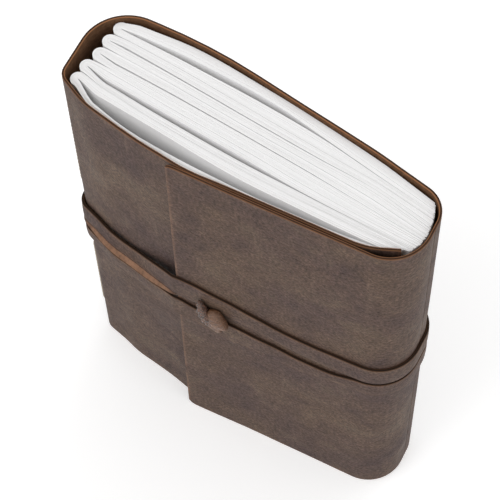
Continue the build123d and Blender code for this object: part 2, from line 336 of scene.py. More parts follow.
def band(name, points, profile, thickness, free_ends=(False, False), start=0.0):
    """A strip of leather on edge. Its outer face passes over the plan points, and
    profile(length, point) gives its (stand-off, height, rub) rows there, from the lower
    edge to the upper edge; rub is wear above 0 and painted shade below 0. Material 0 is
    the grain face, 1 the flesh face and 2 the cut edge."""
    normals = line_normals(points)
    lengths = run_lengths(points, start)
    round_off = thickness * EDGE_ROUNDING
    loops = []
    for length, point, normal in zip(lengths, points, normals):
        inset = 0.0
        for free, reach in zip(free_ends, (length - lengths[0], lengths[-1] - length)):
            if free and reach < round_off:
                inset = round_off - math.sqrt(round_off**2 - (round_off - reach) ** 2)
        rows = profile(length, point)
        places = [Vector(row[:2]) for row in rows]
        outer, inner = [], []
        for k, (place, row) in enumerate(zip(places, rows)):
            run = places[min(k + 1, len(rows) - 1)] - places[max(k - 1, 0)]
            across = Vector((run.y, -run.x)).normalized()
            push = hide_ripple(length, row[1])
            outer.append((place + across * (push - inset), GRAIN, row[1], row[2], 0.0))
            inner.append((place + across * (push - thickness + inset), FLESH, row[1], row[2], 1.0))
        down = (places[0] - places[1]).normalized()
        up = (places[-1] - places[-2]).normalized()
        ring = shoulder_points(outer[0], inner[0], down, round_off - inset)[::-1]
        ring += outer
        ring += shoulder_points(outer[-1], inner[-1], up, round_off - inset)
        ring += inner[::-1]
        loops.append([(point + normal * place.x, place.y, *rest) for place, *rest in ring])
    return loop_mesh(name, loops, lengths)


def shoulder_points(outer, inner, along, reach):
    """Points over a cut edge, from the outer face's end to the inner face's end."""
    made = []
    for depth, rise in EDGE_SECTION:
        place = outer[0].lerp(inner[0], depth) + along * reach * rise
        made.append((place, CUT, place.y + depth * 3, outer[3], depth))
    return made


def ring_quad(row, next_row, k, around):
    """The corners of one quad between two rings that start at row and next_row."""
    after = (k + 1) % around
    return (row + k, row + after, next_row + after, next_row + k)


def loop_mesh(name, loops, lengths):
    """A closed skin over matching loops, with a UV map in decimetres of length and height."""
    count = len(loops[0])
    vertices = [(p.x * MM, p.y * MM, z * MM) for loop in loops for p, z, *_ in loop]
    wear_and_shade_values = [point[4] for loop in loops for point in loop]
    layers = [point[5] for loop in loops for point in loop]
    faces, kinds, uvs = [], [], []
    for n in range(len(loops) - 1):
        for k in range(count):
            after = (k + 1) % count
            faces.append(ring_quad(n * count, (n + 1) * count, k, count))
            kinds.append(max(loops[n][k][2], loops[n][after][2]))
            uvs += [
                (lengths[n] / 100, loops[n][k][3] / 100),
                (lengths[n] / 100, loops[n][after][3] / 100),
                (lengths[n + 1] / 100, loops[n + 1][after][3] / 100),
                (lengths[n + 1] / 100, loops[n + 1][k][3] / 100),
            ]
    for n, order in ((0, range(count - 1, -1, -1)), (len(loops) - 1, range(count))):
        faces.append([n * count + k for k in order])
        kinds.append(CUT)
        uvs += [(lengths[n] / 100, loops[n][k][3] / 100) for k in order]
    mesh = bpy.data.meshes.new(name)
    mesh.from_pydata(vertices, [], faces)
    mesh.polygons.foreach_set("material_index", kinds)
    mesh.polygons.foreach_set("use_smooth", [True] * (len(faces) - 2) + [False, False])
    mesh.uv_layers.new(name="UVMap").data.foreach_set("uv", [value for uv in uvs for value in uv])
    mesh.attributes.new("rub", "FLOAT", "POINT").data.foreach_set("value", wear_and_shade_values)
    mesh.attributes.new("layer", "FLOAT", "POINT").data.foreach_set("value", layers)
    mesh.update()
    return linked(name, mesh)


def linked(name, mesh):
    """A new object in the scene for a mesh."""
    made = bpy.data.objects.new(name, mesh)
    bpy.context.scene.collection.objects.link(made)
    return made


def dress(piece, slot_name, *materials):
    """Gives a piece its materials; slot_name is not used."""
    for material in materials:
        piece.data.materials.append(material)


# ---------------------------------------------------------------- materials


class Nodes:
    """A short way to write a material's nodes."""

    def __init__(self, name):
        self.material = bpy.data.materials.new(name)
        self.material.use_nodes = True
        self.tree = self.material.node_tree
        self.shader = self.tree.nodes["Principled BSDF"]

    def add(self, kind, inputs=None, **settings):
        """Adds a node; inputs are values or (node, output) pairs by socket name or number."""
        node = self.tree.nodes.new(kind)
        for key, value in settings.items():
            setattr(node, key, value)
        for key, value in (inputs or {}).items():
            self.feed(node.inputs[key], value)
        return node

    def feed(self, socket, value):
        """Sets a socket, or links it to another node's output."""
        if isinstance(value, tuple) and len(value) == 2 and isinstance(value[0], bpy.types.Node):
            self.tree.links.new(value[0].outputs[value[1]], socket)
        elif isinstance(value, bpy.types.Node):
            self.tree.links.new(value.outputs[0], socket)
        else:
            socket.default_value = value

    def ramp(self, source, stops):
        """A colour ramp over a source; stops are (place, colour)."""
        node = self.add("ShaderNodeValToRGB", {"Fac": source})
        elements = node.color_ramp.elements
        while len(elements) < len(stops):
            elements.new(0.5)
        for element, (place, colour) in zip(elements, stops):
            element.position = place
            element.color = (*colour, 1.0)
        return node

    def noise(self, coordinates, scale, detail=4.0, roughness=0.55, distortion=0.0):
        """A noise pattern with its value first."""
        inputs = {
            "Vector": coordinates,
            "Scale": scale,
            "Detail": detail,
            "Roughness": roughness,
            "Distortion": distortion,
        }
        return self.add("ShaderNodeTexNoise", inputs)

    def mix(self, a, b, share, blend="MIX"):
        """Two colours mixed by a share."""
        node = self.add("ShaderNodeMix", data_type="RGBA", blend_type=blend)
        self.feed(node.inputs[0], share)
        self.feed(node.inputs[6], a)
        self.feed(node.inputs[7], b)
        return (node, 2)

    def arithmetic(self, operation, *values):
        """One arithmetic step."""
        node = self.add("ShaderNodeMath", operation=operation)
        for socket, value in zip(node.inputs, values):
            self.feed(socket, value)
        return node

    def between(self, source, low, high, to_low=0.0, to_high=1.0):
        """A value mapped from one range to another, and kept inside it."""
        inputs = {
            "Value": source,
            "From Min": low,
            "From Max": high,
            "To Min": to_low,
            "To Max": to_high,
        }
        return self.add("ShaderNodeMapRange", inputs)


def surface_coordinates(nodes, scale=(1.0, 1.0, 1.0), place=(0.0, 0.0, 0.0)):
    """The UV map, which is decimetres along and up the leather, moved and scaled."""
    uv = nodes.add("ShaderNodeUVMap", uv_map="UVMap")
    return nodes.add("ShaderNodeMapping", {"Vector": uv, "Scale": scale, "Location": place})


def leather_material(name, place):
    """Waxed pull-up leather: mottled grey-brown with paler worn patches, scuffs and a fine grain.
    The rub attribute is 1 where the surface is worn to tan, and -1 where a crease's shade is painted in
    near black."""
    nodes = Nodes(name)
    uv = surface_coordinates(nodes, place=place)
    clouds = nodes.noise(uv, 3.2, 5.0, 0.6, 0.3)
    beside = surface_coordinates(nodes, place=(place[0] + 5, 2, 1))
    patches = nodes.noise(beside, 7.5, 6.0, 0.62, 0.5)
    speckle = nodes.noise(uv, 95.0, 3.0, 0.75)
    smudges = nodes.noise(uv, 24.0, 4.0, 0.65, 0.4)
    brown = [(0.3, (0.074, 0.046, 0.040)), (0.5, (0.086, 0.053, 0.040)), (0.72, (0.106, 0.067, 0.044))]
    base = nodes.ramp(clouds, brown)
    colour = nodes.mix(base, (0.058, 0.040, 0.040, 1), nodes.between(patches, 0.50, 0.66, 0.0, 0.5))
    colour = nodes.mix(colour, (0.106, 0.068, 0.040, 1), nodes.between(patches, 0.45, 0.3, 0.0, 0.5))
    upright = surface_coordinates(nodes, (1.0, 0.16, 1.0), (place[0], 7, 3))
    streaks = nodes.noise(upright, 26.0, 4.0, 0.6)
    colour = nodes.mix(colour, (0.20, 0.135, 0.096, 1), nodes.between(streaks, 0.55, 0.78, 0.0, 0.28))
    colour = nodes.mix(colour, nodes.between(speckle, 0.36, 0.64, 0.56, 1.46), 1.0, "MULTIPLY")
    colour = nodes.mix(colour, nodes.between(smudges, 0.3, 0.7, 0.80, 1.20), 1.0, "MULTIPLY")
    rub = nodes.add("ShaderNodeAttribute", attribute_name="rub")
    broken = nodes.between(speckle, 0.3, 0.55, 0.55, 1.0)
    worn = nodes.arithmetic("MULTIPLY", nodes.between((rub, 2), 0.0, 1.0), broken)
    uneven = nodes.between(smudges, 0.3, 0.7, 0.75, 1.25)
    tan = nodes.mix((0.25, 0.135, 0.082, 1), uneven, 1.0, "MULTIPLY")
    colour = nodes.mix(colour, tan, worn)
    # Painted shade: near black where rub is below 0, in the crease under the thong's rolled lip.
    colour = nodes.mix(colour, (0.016, 0.008, 0.005, 1), nodes.between((rub, 2), 0.0, -1.0))
    nodes.feed(nodes.shader.inputs["Base Color"], colour)
    nodes.feed(nodes.shader.inputs["Roughness"], nodes.between(patches, 0.3, 0.7, 0.52, 0.70))
    nodes.shader.inputs["Specular IOR Level"].default_value = 0.14
    cells = nodes.add("ShaderNodeTexVoronoi", {"Vector": uv, "Scale": 125.0}, feature="SMOOTH_F1")
    cracks = nodes.noise(uv, 42.0, 5.0, 0.65, 0.8)
    pebbles = nodes.arithmetic("MULTIPLY", cells, 0.5)
    height = nodes.arithmetic("ADD", pebbles, nodes.arithmetic("MULTIPLY", cracks, 0.9))
    height = nodes.arithmetic("ADD", height, nodes.arithmetic("MULTIPLY", speckle, 0.5))
    bump = nodes.add("ShaderNodeBump", {"Height": height, "Strength": 0.5, "Distance": 0.00035})
    nodes.feed(nodes.shader.inputs["Normal"], bump)
    return nodes.material


def flesh_material():
    """The rough underside of the leather."""
    nodes = Nodes("leather_flesh")
    uv = surface_coordinates(nodes)
    fibres = nodes.noise(uv, 60.0, 6.0, 0.7, 0.4)
    colour = nodes.ramp(fibres, [(0.3, (0.085, 0.040, 0.019)), (0.7, (0.190, 0.098, 0.050))])
    nodes.feed(nodes.shader.inputs["Base Color"], colour)
    nodes.shader.inputs["Roughness"].default_value = 0.9
    nodes.shader.inputs["Specular IOR Level"].default_value = 0.2
    bump = nodes.add("ShaderNodeBump", {"Height": fibres, "Strength": 0.5, "Distance": 0.0004})
    nodes.feed(nodes.shader.inputs["Normal"], bump)
    return nodes.material


def cut_edge_material(name, dark, light):
    """A cut edge: rust at the grain face, a dark core and tan at the flesh face, all fibrous."""
    nodes = Nodes(name)
    uv = surface_coordinates(nodes)
    fibres = nodes.noise(uv, 45.0, 6.0, 0.7, 0.3)
    layer = nodes.add("ShaderNodeAttribute", attribute_name="layer")
    core = tuple(0.2 * channel for channel in dark)
    inside = tuple(1.7 * channel for channel in light)
    across = nodes.ramp((layer, 2), [(0.05, light), (0.30, core), (0.62, dark), (0.86, inside)])
    colour = nodes.mix(across, nodes.ramp(fibres, [(0.32, dark), (0.68, light)]), 0.15)
    nodes.feed(nodes.shader.inputs["Base Color"], colour)
    nodes.shader.inputs["Roughness"].default_value = 0.8
    nodes.shader.inputs["Specular IOR Level"].default_value = 0.25
    bump = nodes.add("ShaderNodeBump", {"Height": fibres, "Strength": 0.5, "Distance": 0.0002})
    nodes.feed(nodes.shader.inputs["Normal"], bump)
    return nodes.material


def paper_material():
    """Matt white paper with a faint tone of its own for each sheet."""
    nodes = Nodes("paper")
    tone = nodes.add("ShaderNodeAttribute", attribute_name="tone")
    place = nodes.add("ShaderNodeTexCoord")
    grain = nodes.noise((place, 3), 900.0, 3.0, 0.6)
    base = nodes.ramp((tone, 2), [(0.0, (0.89, 0.883, 0.88)), (1.0, (0.93, 0.925, 0.925))])
    colour = nodes.mix(base, nodes.between(grain, 0.3, 0.7, 0.985, 1.01), 1.0, "MULTIPLY")
    nodes.feed(nodes.shader.inputs["Base Color"], colour)
    nodes.shader.inputs["Roughness"].default_value = 0.85
    nodes.shader.inputs["Specular IOR Level"].default_value = 0.2
    bump = nodes.add("ShaderNodeBump", {"Height": grain, "Strength": 0.15, "Distance": 0.0001})
    nodes.feed(nodes.shader.inputs["Normal"], bump)
    return nodes.material


def thread_material():
    """Waxed linen thread, with its twist as slanting ridges."""
    nodes = Nodes("thread")
    place = nodes.add("ShaderNodeTexCoord")
    turned = nodes.add("ShaderNodeMapping", {"Vector": (place, 3), "Rotation": (0.6, 0.0, 0.6)})
    inputs = {"Vector": turned, "Scale": 900.0, "Distortion": 1.5}
    twist = nodes.add("ShaderNodeTexWave", inputs, bands_direction="Z")
    colour = nodes.ramp(twist, [(0.2, (0.28, 0.22, 0.15)), (0.8, (0.62, 0.54, 0.42))])
    nodes.feed(nodes.shader.inputs["Base Color"], colour)
    nodes.shader.inputs["Roughness"].default_value = 0.6
    bump = nodes.add("ShaderNodeBump", {"Height": twist, "Strength": 0.6, "Distance": 0.0002})
    nodes.feed(nodes.shader.inputs["Normal"], bump)
    return nodes.material


# ---------------------------------------------------------------- leather sheet


def cover_stand_off(point, height):
    """How far the front cover's outer face stands off its plan path; 0 past the spine's corner."""
    share = eased((SPINE_FADE[1] - point.y) / (SPINE_FADE[1] - SPINE_FADE[0]))
    at_tail = on_curve(TAIL_OFFSETS, point.x)
    at_head = on_curve(HEAD_OFFSETS, point.x)
    return share * mixed(at_tail, at_head, height / COVER_HEIGHT)


def hide_ripple(length, height):
    """A slow unevenness of the whole hide."""
    return RIPPLE * wander(length / 26, height / 31, 4.0)


def edge_height(length, height):
    """The head or tail edge, cut by hand."""
    return height + EDGE_WAVE * wander(length / 18, height / 50, 9.0)


def rows_between(low, high, count):
    """Heights from low to high, closer together next to both edges."""
    near = [0.0, 0.45, 1.1, 2.4]
    margin = 4.6
    inner = [mixed(low + margin, high - margin, step / count) for step in range(count + 1)]
    return [low + reach for reach in near] + inner + [high - reach for reach in near[::-1]]


def edge_rub(reach, seed):
    """How worn the grain face is at a distance from a cut edge, more in some places."""
    patch = 0.7 + 0.9 * wander(seed / 9, 2.0, 6.0)
    return max(0.0, patch * math.exp(-reach / 0.5))


def sheet_pieces(grain, flesh, cut):
    """The one sheet of leather, in three pieces that meet where nothing bends."""
    line = evenly(rounded_line(SHEET_PATH), SHEET_SPACING)
    back_seam = next(n for n, p in enumerate(line) if p.y > 0 and p.x > BACK_SEAM_X)
    wrap_seam = next(n for n, p in enumerate(line) if n > back_seam and p.y < WRAP_SEAM_Y)

    def cover_profile(length, point):
        low = edge_height(length, TAIL_MARGIN)
        high = edge_height(length, COVER_HEIGHT - HEAD_MARGIN)
        made = []
        for z in rows_between(low, high, SHEET_ROWS):
            rub = edge_rub(min(z, COVER_HEIGHT - z), length) + edge_rub(length, z)
            made.append((cover_stand_off(point, z), z, rub))
        return made

    def flap_profile(length, point):
        reach = max(0.0, FLAP_CORNER - (point.x - FLAP_EDGE_X)) if point.y < FLAP_Y + 1 else 0.0
        rise = FLAP_CORNER - math.sqrt(max(0.0, FLAP_CORNER**2 - reach**2))
        lean = eased((12 - point.x) / 32)
        low = edge_height(length, TAIL_MARGIN) + rise
        high = edge_height(length, COVER_HEIGHT - HEAD_MARGIN) - 0.4 * rise
        made = []
        for z in rows_between(low, high, SHEET_ROWS):
            rub = edge_rub(min(z, COVER_HEIGHT - z), length)
            rub += edge_rub(max(0.0, point.x - FLAP_EDGE_X), z)
            made.append((lean * mixed(0.4, -0.25, z / COVER_HEIGHT), z, min(1.0, rub)))
        return made

    cover_line = tapered(line[: back_seam + 1], True, False, LEATHER * EDGE_ROUNDING)
    wrap_line = line[back_seam : wrap_seam + 1]
    flap_line = tapered(line[wrap_seam:], False, True, LEATHER * EDGE_ROUNDING)
    wrap_start = run_lengths(cover_line)[-1]
    flap_start = run_lengths(wrap_line, wrap_start)[-1]
    cover = band("cover_leather", cover_line, cover_profile, LEATHER, (True, False))
    wrap = band("fore_edge_leather", wrap_line, cover_profile, LEATHER, start=wrap_start)
    flap = band("flap_leather", flap_line, flap_profile, LEATHER, (False, True), flap_start)
    for piece in (cover, wrap, flap):
        dress(piece, "cover_leather", grain, flesh, cut)
    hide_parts("front_cover", "spine_panel", "back_cover")
    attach(cover, "book")
    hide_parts("fore_edge_wrap")
    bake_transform(wrap)
    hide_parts("flap")
    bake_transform(flap)


# ---------------------------------------------------------------- pages


def cover_inner_line():
    """The front cover's inner face as (x, y) pairs that run towards the fore-edge."""
    line = rounded_line(SHEET_PATH[:5])
    inner = [point - normal * LEATHER for point, normal in zip(line, line_normals(line))]
    return sorted((p.x, p.y) for p in inner if p.x < SHEET_PATH[0][0] - 0.5)


INNER_LINE = cover_inner_line()


def block_front(x):
    """The depth of the page block's front face at the head."""
    last = len(INNER_LINE) - 1
    n = next((i for i in range(1, last) if INNER_LINE[i][0] >= x), last)
    (x0, y0), (x1, y1) = INNER_LINE[n - 1], INNER_LINE[n]
    flat_y = mixed(y0, y1, (x - x0) / max(1e-6, x1 - x0))
    return flat_y - on_curve(HEAD_OFFSETS, x) + COVER_GAP


def faces_at(signature, x):
    """A signature's front face, opening front, opening back and back face at x, at the head."""
    opening_front, opening_back = (on_curve(list(zip(STATIONS, row)), x) for row in OPENINGS[signature])
    back = on_curve(list(zip(STATIONS, BOUNDARIES[signature])), x)
    if signature == 0:
        front = block_front(x)
        opening_front = max(opening_front, front + mixed(2.0, 0.7, eased((x + 60) / 35)))
        opening_back = max(opening_back, opening_front + 0.05)
    else:
        front = on_curve(list(zip(STATIONS, BOUNDARIES[signature - 1])), x) + SIGNATURE_GAP
    return front, opening_front, opening_back, back


def fore_edge_x(y):
    """Where the block's rounded fore-edge lies at a depth y."""
    lean = (y - FORE_EDGE_MIDDLE_Y) / FORE_EDGE_HALF_DEPTH
    return FORE_EDGE_PAGE_X - (FORE_EDGE_BOWS[0] if lean < 0 else FORE_EDGE_BOWS[1]) * lean**2


def leaf_depth(signature, layer, x):
    """The depth at x of a layer boundary, counted from 0 at the signature's front face."""
    front, opening_front, opening_back, back = faces_at(signature, x)
    if layer <= SHEETS:
        return mixed(front, opening_front, layer / SHEETS)
    return mixed(opening_back, back, layer / SHEETS - 1)


def leaf_points(signature, layer, trim):
    """Points along one side of a leaf, from past the fold to the fore-edge."""
    xs = [mixed(LEAF_START_X, LEAF_END_X, step / LEAF_STEPS) for step in range(LEAF_STEPS + 1)]
    points = [Vector((x, leaf_depth(signature, layer, x))) for x in xs]
    slope = (points[-1] - points[-2]) / (points[-1].x - points[-2].x)
    end_x = fore_edge_x(points[-1].y) - trim
    for share in (0.2, 0.4, 0.6, 0.8, 1.0):
        place = points[LEAF_STEPS] + slope * (end_x - LEAF_END_X) * share
        inside_cover = block_front(place.x) + LEAF_PINCH * layer
        points.append(Vector((place.x, max(place.y, inside_cover))))
    return points


def sheet_side(signature, sheet, share, trims):
    """One side of a folded sheet, from its back fore-edge round the fold to its front one."""
    tip_x, tip_y = FOLD_TIPS[signature]
    nesting = (sheet + share) / SHEETS
    radius = mixed(FOLD_RADIUS, 0.12, nesting)
    centre = Vector((tip_x + FOLD_RADIUS, tip_y))
    fold = []
    for step in range(FOLD_STEPS + 1):
        angle = math.pi * (0.5 + step / FOLD_STEPS)
        fold.append(centre + Vector((math.cos(angle), math.sin(angle))) * radius)
    front = leaf_points(signature, sheet + share, trims[0])
    back = leaf_points(signature, 2 * SHEETS - sheet - share, trims[1])
    joined_front = smooth_join(fold[-1], fold[-2], front)
    joined_back = smooth_join(fold[0], fold[1], back)
    return joined_back[::-1] + fold[1:-1] + joined_front


def smooth_join(fold_end, fold_before, run):
    """The run with a curve added from the end of a fold to its first point."""
    span = (run[0] - fold_end).length
    leaving = (fold_end - fold_before).normalized() * span * 0.3
    arriving = (run[1] - run[0]).normalized() * span * 0.8
    made = [fold_end]
    for step in range(1, 6):
        t = step / 6
        made.append(
            fold_end * (2 * t**3 - 3 * t**2 + 1)
            + leaving * (t**3 - 2 * t**2 + t)
            + run[0] * (3 * t**2 - 2 * t**3)
            + arriving * (t**3 - t**2)
        )
    return made + run


def tail_shift(x, y):
    """How far a leaf moves in at the tail, where the front cover is flatter."""
    depth = min(1.0, max(0.0, (block_front(x) + BLOCK_DEPTH - y) / BLOCK_DEPTH))
    return (on_curve(HEAD_OFFSETS, x) - on_curve(TAIL_OFFSETS, x)) * depth**2


def folded_sheet(vertices, faces, tones, signature, sheet, draw):
    """Adds one folded sheet of paper to the lists of a signature's mesh."""
    trims = (draw.uniform(-0.1, 0.5), draw.uniform(-0.1, 0.5))
    outer = sheet_side(signature, sheet, 0.03, trims)
    inner = sheet_side(signature, sheet, 0.93, trims)
    head = PAGE_HEAD + draw.uniform(-0.16, 0.08)
    tone = draw.random()
    first = len(vertices)
    count = len(outer)
    levels = [PAGE_TAIL, *PAGE_LEVELS, head]
    for z in levels:
        drop = 1.0 - z / PAGE_HEAD
        for point in outer + inner:
            y = point.y + tail_shift(point.x, point.y) * drop
            wave = 0.08 * wander(point.x / 14, signature * 3 + sheet, z / 40) if z == head else 0.0
            vertices.append((point.x * MM, y * MM, (z + wave) * MM))
            tones.append(tone)
    ring = list(range(count)) + list(range(2 * count - 1, count - 1, -1))
    for level in range(len(levels) - 1):
        low = first + level * 2 * count
        high = low + 2 * count
        for a, b in zip(ring, ring[1:] + ring[:1]):
            faces.append((low + a, low + b, high + b, high + a))
    top = first + (len(levels) - 1) * 2 * count
    for k in range(count - 1):
        faces.append((top + k, top + k + 1, top + count + k + 1, top + count + k))
        faces.append((first + k, first + count + k, first + count + k + 1, first + k + 1))


def pages(paper):
    """The five signatures of folded sheets."""
    draw = random.Random(SEED)
    for signature in range(len(FOLD_TIPS)):
        vertices, faces, tones = [], [], []
        for sheet in range(SHEETS):
            folded_sheet(vertices, faces, tones, signature, sheet, draw)
        name = f"signature_{signature + 1}"
        mesh = bpy.data.meshes.new(name)
        mesh.from_pydata(vertices, [], faces)
        attribute = mesh.attributes.new("tone", "FLOAT", "POINT")
        attribute.data.foreach_set("value", tones)
        mesh.update()
        piece = linked(name, mesh)
        dress(piece, "paper", paper)
        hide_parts(*[f"{name}_sheets_{group}" for group in range(1, 5)])
        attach(piece, "book")


# ---------------------------------------------------------------- sewing


def stitch_path(x_out, x_in, low, high):
    """Points (x, z) round one stitch: down the outside of the spine and up inside the fold."""
    corner = STITCH_CORNER
    made = []
    for x, z, start in ((x_out, high, 0.0), (x_out, low, 0.5), (x_in, low, 1.0), (x_in, high, 1.5)):
        centre_x = x + (corner if x == x_out else -corner)
        centre_z = z + (corner if z == low else -corner)
        for step in range(5):
            angle = math.pi * (0.5 + start + step / 8)
            place = (centre_x + corner * math.cos(angle), centre_z + corner * math.sin(angle))
            made.append(Vector(place))
    return made


def spine_face_x(y):
    """Where the outer face of the rounded spine lies at a depth y."""
    line = [p for p in rounded_line(SHEET_PATH[2:8]) if p.x < -40 and p.y > SHEET_PATH[4][1]]
    n = next(i for i in range(1, len(line)) if line[i].y >= y)
    return mixed(line[n - 1].x, line[n].x, (y - line[n - 1].y) / (line[n].y - line[n - 1].y))


def stitch(vertices, faces, signature, low, high):
    """Adds one stitch of two-ply thread to the lists of a mesh."""
    tip_x, y = FOLD_TIPS[signature]
    outside = spine_face_x(y) - STITCH_OUTSIDE
    path = stitch_path(outside, tip_x + FOLD_RADIUS + STITCH_INSIDE, low, high)
    path = evenly(path + path[:1], THREAD_SPACING)[:-1]
    around = THREAD_SIDES
    first = len(vertices)
    for n, place in enumerate(path):
        along = (path[(n + 1) % len(path)] - path[n - 1]).normalized()
        inward = cover_stand_off(Vector((place.x, y)), place.y) if place.x < outside + 1 else 0.0
        for k in range(around):
            angle = 2 * math.pi * k / around
            twist = n * THREAD_SPACING / THREAD_TWIST * math.pi
            ply = THREAD * (0.42 + 0.10 * math.cos(2 * (angle - twist)))
            side = ply * math.cos(angle)
            x = place.x - inward - along.y * side
            z = place.y + along.x * side
            vertices.append((x * MM, (y + ply * math.sin(angle)) * MM, z * MM))
    for n in range(len(path)):
        for k in range(around):
            faces.append(ring_quad(first + n * around, first + (n + 1) % len(path) * around, k, around))


def sewing(thread):
    """The stitches that hold each signature to the spine."""
    for signature in range(len(FOLD_TIPS)):
        vertices, faces = [], []
        for low, high in STITCHES:
            stitch(vertices, faces, signature, low, high)
        name = f"stitches_{signature + 1}"
        mesh = bpy.data.meshes.new(name)
        mesh.from_pydata(vertices, [], faces)
        piece = linked(name, mesh)
        close_and_smooth(piece)
        dress(piece, "thread", thread)
        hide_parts(f"sewing_thread_{signature + 1}")
        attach(piece, "book")


# ---------------------------------------------------------------- thong


def thong_profile(turn, rear_length):
    """The rows of one turn of the thong. Behind the book and round the fore-edge it runs straight."""
    top, low = (UPPER_TOP, UPPER_LOW) if turn == "upper" else (LOWER_TOP, LOWER_LOW)

    def height(table, length, x):
        if length < rear_length:
            return mixed(table[0][1], table[-1][1], length / rear_length)
        return on_curve(table, x)

    def profile(length, point):
        high = height(top, length, point.x)
        crease = height(low, length, point.x)
        in_front = length > rear_length and turn == "upper"
        lip = on_curve(UPPER_LIP, point.x) if in_front else 0.0
        lean = on_curve(UPPER_LEAN, point.x) if in_front else 0.0
        wave = 0.25 * wander(length / 8, 3.0 if turn == "upper" else 8.0, 1.0)
        made = []
        for share in LIP_ROWS:
            out = lean + lip * (1 - share) ** 1.2
            drop = (0.35 + 0.75 * lip) * (1 - share)
            made.append((out, crease + wave - drop, min(1.0, lip / 0.9)))
        # The crease under the rolled lip is pushed in, and painted shade darkens it through a negative
        # rub.
        groove_and_shade = min(1.0, lip / 0.8)
        made.append((lean - 0.35 * groove_and_shade, crease + wave, -0.9 * groove_and_shade))
        for share in STRAP_ROWS:
            rub = 0.5 * edge_rub(min(share, 1 - share) * (high - crease), length)
            crown = 0.12 * math.sin(math.pi * share)
            made.append((lean * (1 - share) + crown, mixed(crease, high, share) + wave, rub))
        return made

    return profile


def thong_pieces(grain, flesh, cut):
    """Both turns of the thong, each in three pieces that meet where nothing bends."""
    path = rounded_line(THONG_PATH)
    outer = [p + normal * (THONG + THONG_AIR) for p, normal in zip(path, line_normals(path))]
    line = evenly(outer, THONG_SPACING)
    lengths = run_lengths(line)
    back_seam = next(n for n, p in enumerate(line) if p.y > 0 and p.x > BACK_SEAM_X)
    wrap_seam = next(n for n, p in enumerate(line) if n > back_seam and p.y < WRAP_SEAM_Y)
    for turn in ("upper", "lower"):
        profile = thong_profile(turn, lengths[wrap_seam])
        back_line = line[: back_seam + 1]
        edge_line = line[back_seam : wrap_seam + 1]
        front_line = line[wrap_seam:]
        back = band(f"thong_{turn}_back_strap", back_line, profile, THONG)
        edge = band(f"thong_{turn}_edge_strap", edge_line, profile, THONG, start=lengths[back_seam])
        front = band(f"thong_{turn}_front_strap", front_line, profile, THONG, start=lengths[wrap_seam])
        for piece in (back, edge, front):
            dress(piece, "thong_leather", grain, flesh, cut)
        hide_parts(f"thong_{turn}_spine", f"thong_{turn}_back")
        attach(back, "book")
        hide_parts(f"thong_{turn}_fore_edge")
        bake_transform(edge)
        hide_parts(f"thong_{turn}_front")
        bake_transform(front)


# ---------------------------------------------------------------- knot


def lobe(name, spine, widths, depths, wrinkle, taper):
    """A rounded lobe of the knot, lofted along points (x, z) that lie on the thong's outer face."""
    stations, around = 30, 28
    curves = [[(k / (len(spine) - 1), p[axis]) for k, p in enumerate(spine)] for axis in (0, 1)]
    vertices, faces, uvs = [], [], []
    for n in range(stations + 1):
        share = n / stations
        swell = max(0.0, math.sin(math.pi * share)) ** taper
        x, z = (on_curve(curve, share) for curve in curves)
        run = [on_curve(curve, share + 0.01) - on_curve(curve, share - 0.01) for curve in curves]
        along = Vector(run).normalized()
        half = on_curve(widths, share) / 2 * swell
        deep = on_curve(depths, share) / 2 * swell
        for k in range(around):
            angle = 2 * math.pi * k / around
            cosine, sine = (math.copysign(abs(v) ** 0.65, v) for v in (math.cos(angle), math.sin(angle)))
            fold = 1 + wrinkle * wander(share * 9, k / around * 5, 3.0) * max(0.0, sine)
            fold += 0.6 * wrinkle * math.sin(share * 34 + 3 * cosine) * max(0.0, sine)
            across = half * cosine * fold
            out = on_curve(depths, share) / 2 + deep * sine * fold
            place = (x - along.y * across, KNOT_FACE_Y - out, z + along.x * across)
            vertices.append([value * MM for value in place])
    for n in range(stations):
        for k in range(around):
            faces.append(ring_quad(n * around, (n + 1) * around, k, around))
            for row, column in ((n, k), (n, k + 1), (n + 1, k + 1), (n + 1, k)):
                uvs.append((row / stations * 0.17, column / around * 0.12))
    mesh = bpy.data.meshes.new(name)
    mesh.from_pydata(vertices, [], faces)
    mesh.uv_layers.new(name="UVMap").data.foreach_set("uv", [value for uv in uvs for value in uv])
    made = linked(name, mesh)
    close_and_smooth(made)
    return made


def close_and_smooth(piece):
    """Merges the points at a piece's tips, and turns its faces outwards."""
    work = bmesh.new()
    work.from_mesh(piece.data)
    bmesh.ops.remove_doubles(work, verts=work.verts, dist=0.02 * MM)
    bmesh.ops.holes_fill(work, edges=work.edges)
    bmesh.ops.recalc_face_normals(work, faces=work.faces)
    for face in work.faces:
        face.smooth = True
    work.to_mesh(piece.data)
    work.free()


def slip(name, outline, low_y, high_y):
    """A flat tongue of leather, from its outline (x, z) and the depths of its two faces."""
    vertices, faces = [], []
    middle = Vector((sum(p[0] for p in outline), sum(p[1] for p in outline))) / len(outline)
    rings = [(low_y, 0.82), (low_y, 0.95), (mixed(low_y, high_y, 0.3), 1.0), (high_y, 1.0)]
    for y, share in rings:
        for point in outline:
            place = middle.lerp(Vector(point), share)
            vertices.append((place.x * MM, y * MM, place.y * MM))
    count = len(outline)
    for n in range(len(rings) - 1):
        for k in range(count):
            faces.append(ring_quad(n * count, (n + 1) * count, k, count))
    faces.append(list(range(count)))
    faces.append([(len(rings) - 1) * count + k for k in range(count)])
    mesh = bpy.data.meshes.new(name)
    mesh.from_pydata(vertices, [], faces)
    uvs = [vertices[loop.vertex_index] for loop in mesh.loops]
    layer = mesh.uv_layers.new(name="UVMap")
    layer.data.foreach_set("uv", [value for x, _, z in uvs for value in (x * 10, z * 10)])
    made = linked(name, mesh)
    close_and_smooth(made)
    return made


